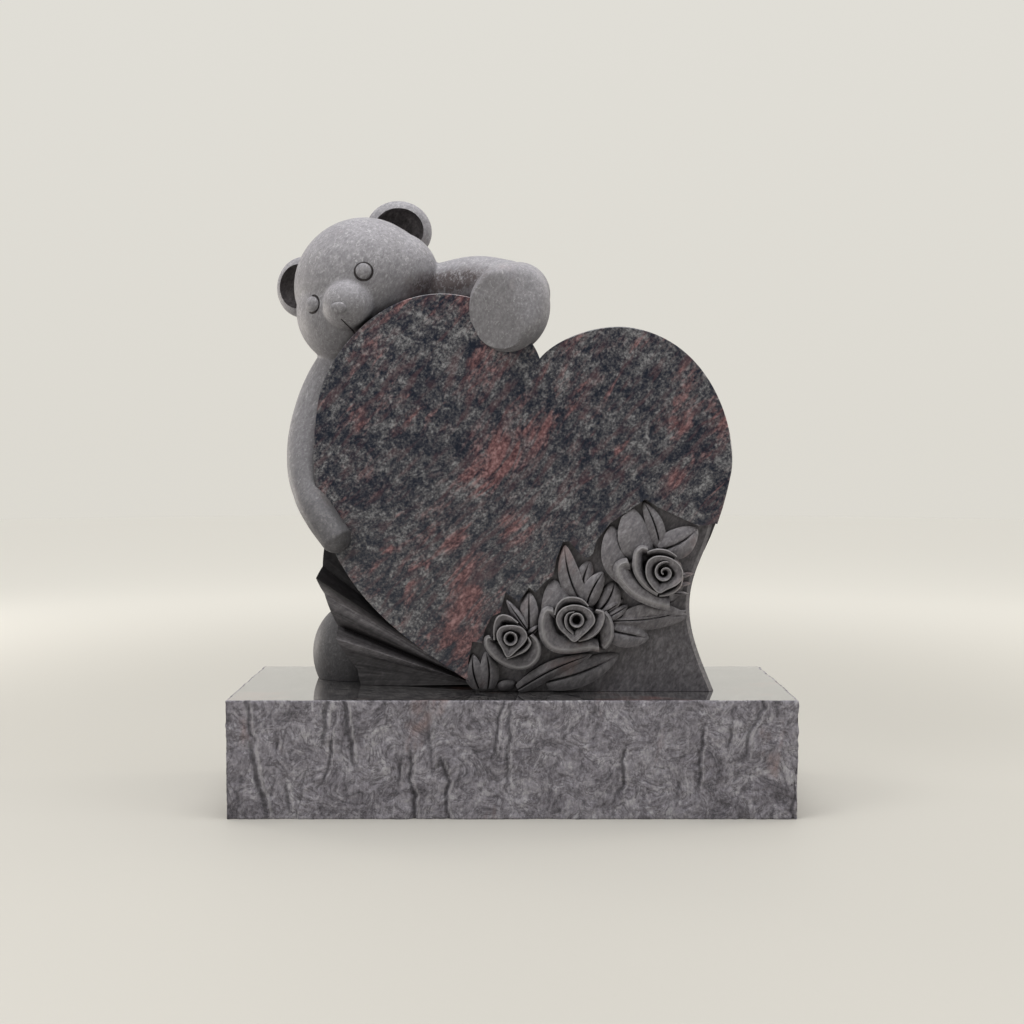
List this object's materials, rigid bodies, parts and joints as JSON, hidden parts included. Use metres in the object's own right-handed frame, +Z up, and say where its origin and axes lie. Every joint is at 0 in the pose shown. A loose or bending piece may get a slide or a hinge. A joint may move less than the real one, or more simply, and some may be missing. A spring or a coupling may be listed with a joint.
{
  "type": "heart headstone with teddy bear",
  "caption": "Granite heart headstone hugged by a carved teddy bear, with drapery and roses in relief, standing on a wide rock-pitched base.",
  "frame": {"origin": "middle of the base's underside", "axes": "+Z up, the carved front faces -Y, +X to the viewer's right"},
  "size_m": [0.762, 0.305, 0.843],
  "materials": {
    "split_granite": "matte",
    "carved_granite": "satin"
  },
  "bodies": {
    "root": {"base": "split_granite", "headstone": "carved_granite"}
  },
  "joints": []
}
